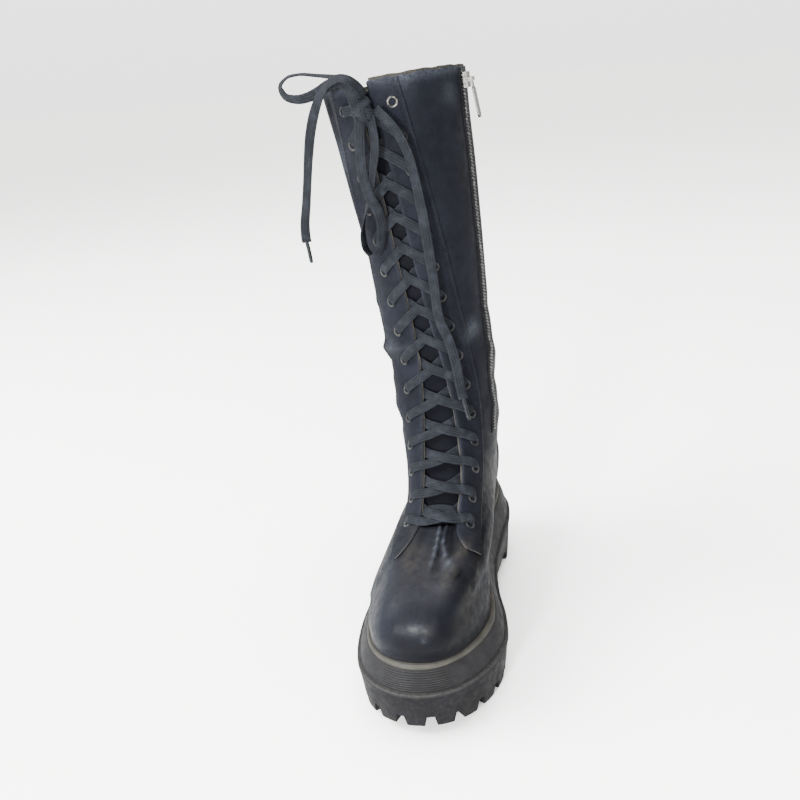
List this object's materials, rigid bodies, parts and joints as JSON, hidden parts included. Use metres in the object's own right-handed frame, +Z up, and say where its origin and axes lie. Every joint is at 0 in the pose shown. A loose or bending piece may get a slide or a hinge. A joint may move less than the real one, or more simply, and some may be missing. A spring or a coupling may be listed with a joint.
{
  "type": "platform combat boot",
  "caption": "Tall lace-up platform boot for the right foot: hollow leather upper with tongue, eyelet facings, side zip with a hinged pull, and a thick lugged rubber sole.",
  "frame": {"origin": "on the floor, under the middle of the boot's box without its free lace", "axes": "+Z up the shaft, -Y towards the toe, +X towards the inner (medial) side"},
  "size_m": [0.1625, 0.298, 0.4475],
  "materials": {
    "leather": "semi-gloss, creased",
    "tongue_leather": "matt",
    "rubber_outsole": "matt, dusty",
    "rubber_midsole": "matt, ribbed at the toe",
    "rubber_welt": "matt, dirty",
    "insole_board": "woven",
    "lace": "flat woven",
    "eyelet_enamel": "worn enamel",
    "zip_tape": "woven tape with metal teeth",
    "zip_metal": "nickel plate, scratched"
  },
  "bodies": {
    "boot": {"eyelet_lateral_01": "eyelet_enamel", "eyelet_lateral_02": "eyelet_enamel", "eyelet_lateral_03": "eyelet_enamel", "eyelet_lateral_04": "eyelet_enamel", "eyelet_lateral_05": "eyelet_enamel", "eyelet_lateral_06": "eyelet_enamel", "eyelet_lateral_07": "eyelet_enamel", "eyelet_lateral_08": "eyelet_enamel", "eyelet_lateral_09": "eyelet_enamel", "eyelet_lateral_10": "eyelet_enamel", "eyelet_lateral_11": "eyelet_enamel", "eyelet_lateral_12": "eyelet_enamel", "eyelet_lateral_13": "eyelet_enamel", "eyelet_lateral_14": "eyelet_enamel", "eyelet_lateral_15": "eyelet_enamel", "eyelet_medial_01": "eyelet_enamel", "eyelet_medial_02": "eyelet_enamel", "eyelet_medial_03": "eyelet_enamel", "eyelet_medial_04": "eyelet_enamel", "eyelet_medial_05": "eyelet_enamel", "eyelet_medial_06": "eyelet_enamel", "eyelet_medial_07": "eyelet_enamel", "eyelet_medial_08": "eyelet_enamel", "eyelet_medial_09": "eyelet_enamel", "eyelet_medial_10": "eyelet_enamel", "eyelet_medial_11": "eyelet_enamel", "eyelet_medial_12": "eyelet_enamel", "eyelet_medial_13": "eyelet_enamel", "eyelet_medial_14": "eyelet_enamel", "eyelet_medial_15": "eyelet_enamel", "facing_lateral": "leather", "facing_medial": "leather", "insole": "insole_board", "lace_bar": "lace", "lace_bow": "lace", "lace_cross_00": "lace", "lace_cross_01": "lace", "lace_cross_02": "lace", "lace_cross_03": "lace", "lace_cross_04": "lace", "lace_cross_05": "lace", "lace_cross_06": "lace", "lace_cross_07": "lace", "lace_cross_08": "lace", "lace_cross_09": "lace", "lace_cross_10": "lace", "lace_cross_11": "lace", "lace_cross_12": "lace", "lace_cross_13": "lace", "lace_end_down": "lace", "lace_end_side": "lace", "midsole": "rubber_midsole", "outsole": "rubber_outsole", "tongue": "tongue_leather", "upper": "leather", "welt": "rubber_welt", "zip_chain": "zip_tape", "zip_slider": "zip_metal"},
    "zip_pull": {"zip_pull": "zip_metal"}
  },
  "joints": [
    {"name": "zip_pull_hinge", "type": "hinge", "parent": "boot", "child": "zip_pull", "pos_m": [0.04533, 0.06272, 0.43178], "axis": [-0.1538, -0.9872, -0.043], "range_deg": [0, 150]}
  ]
}
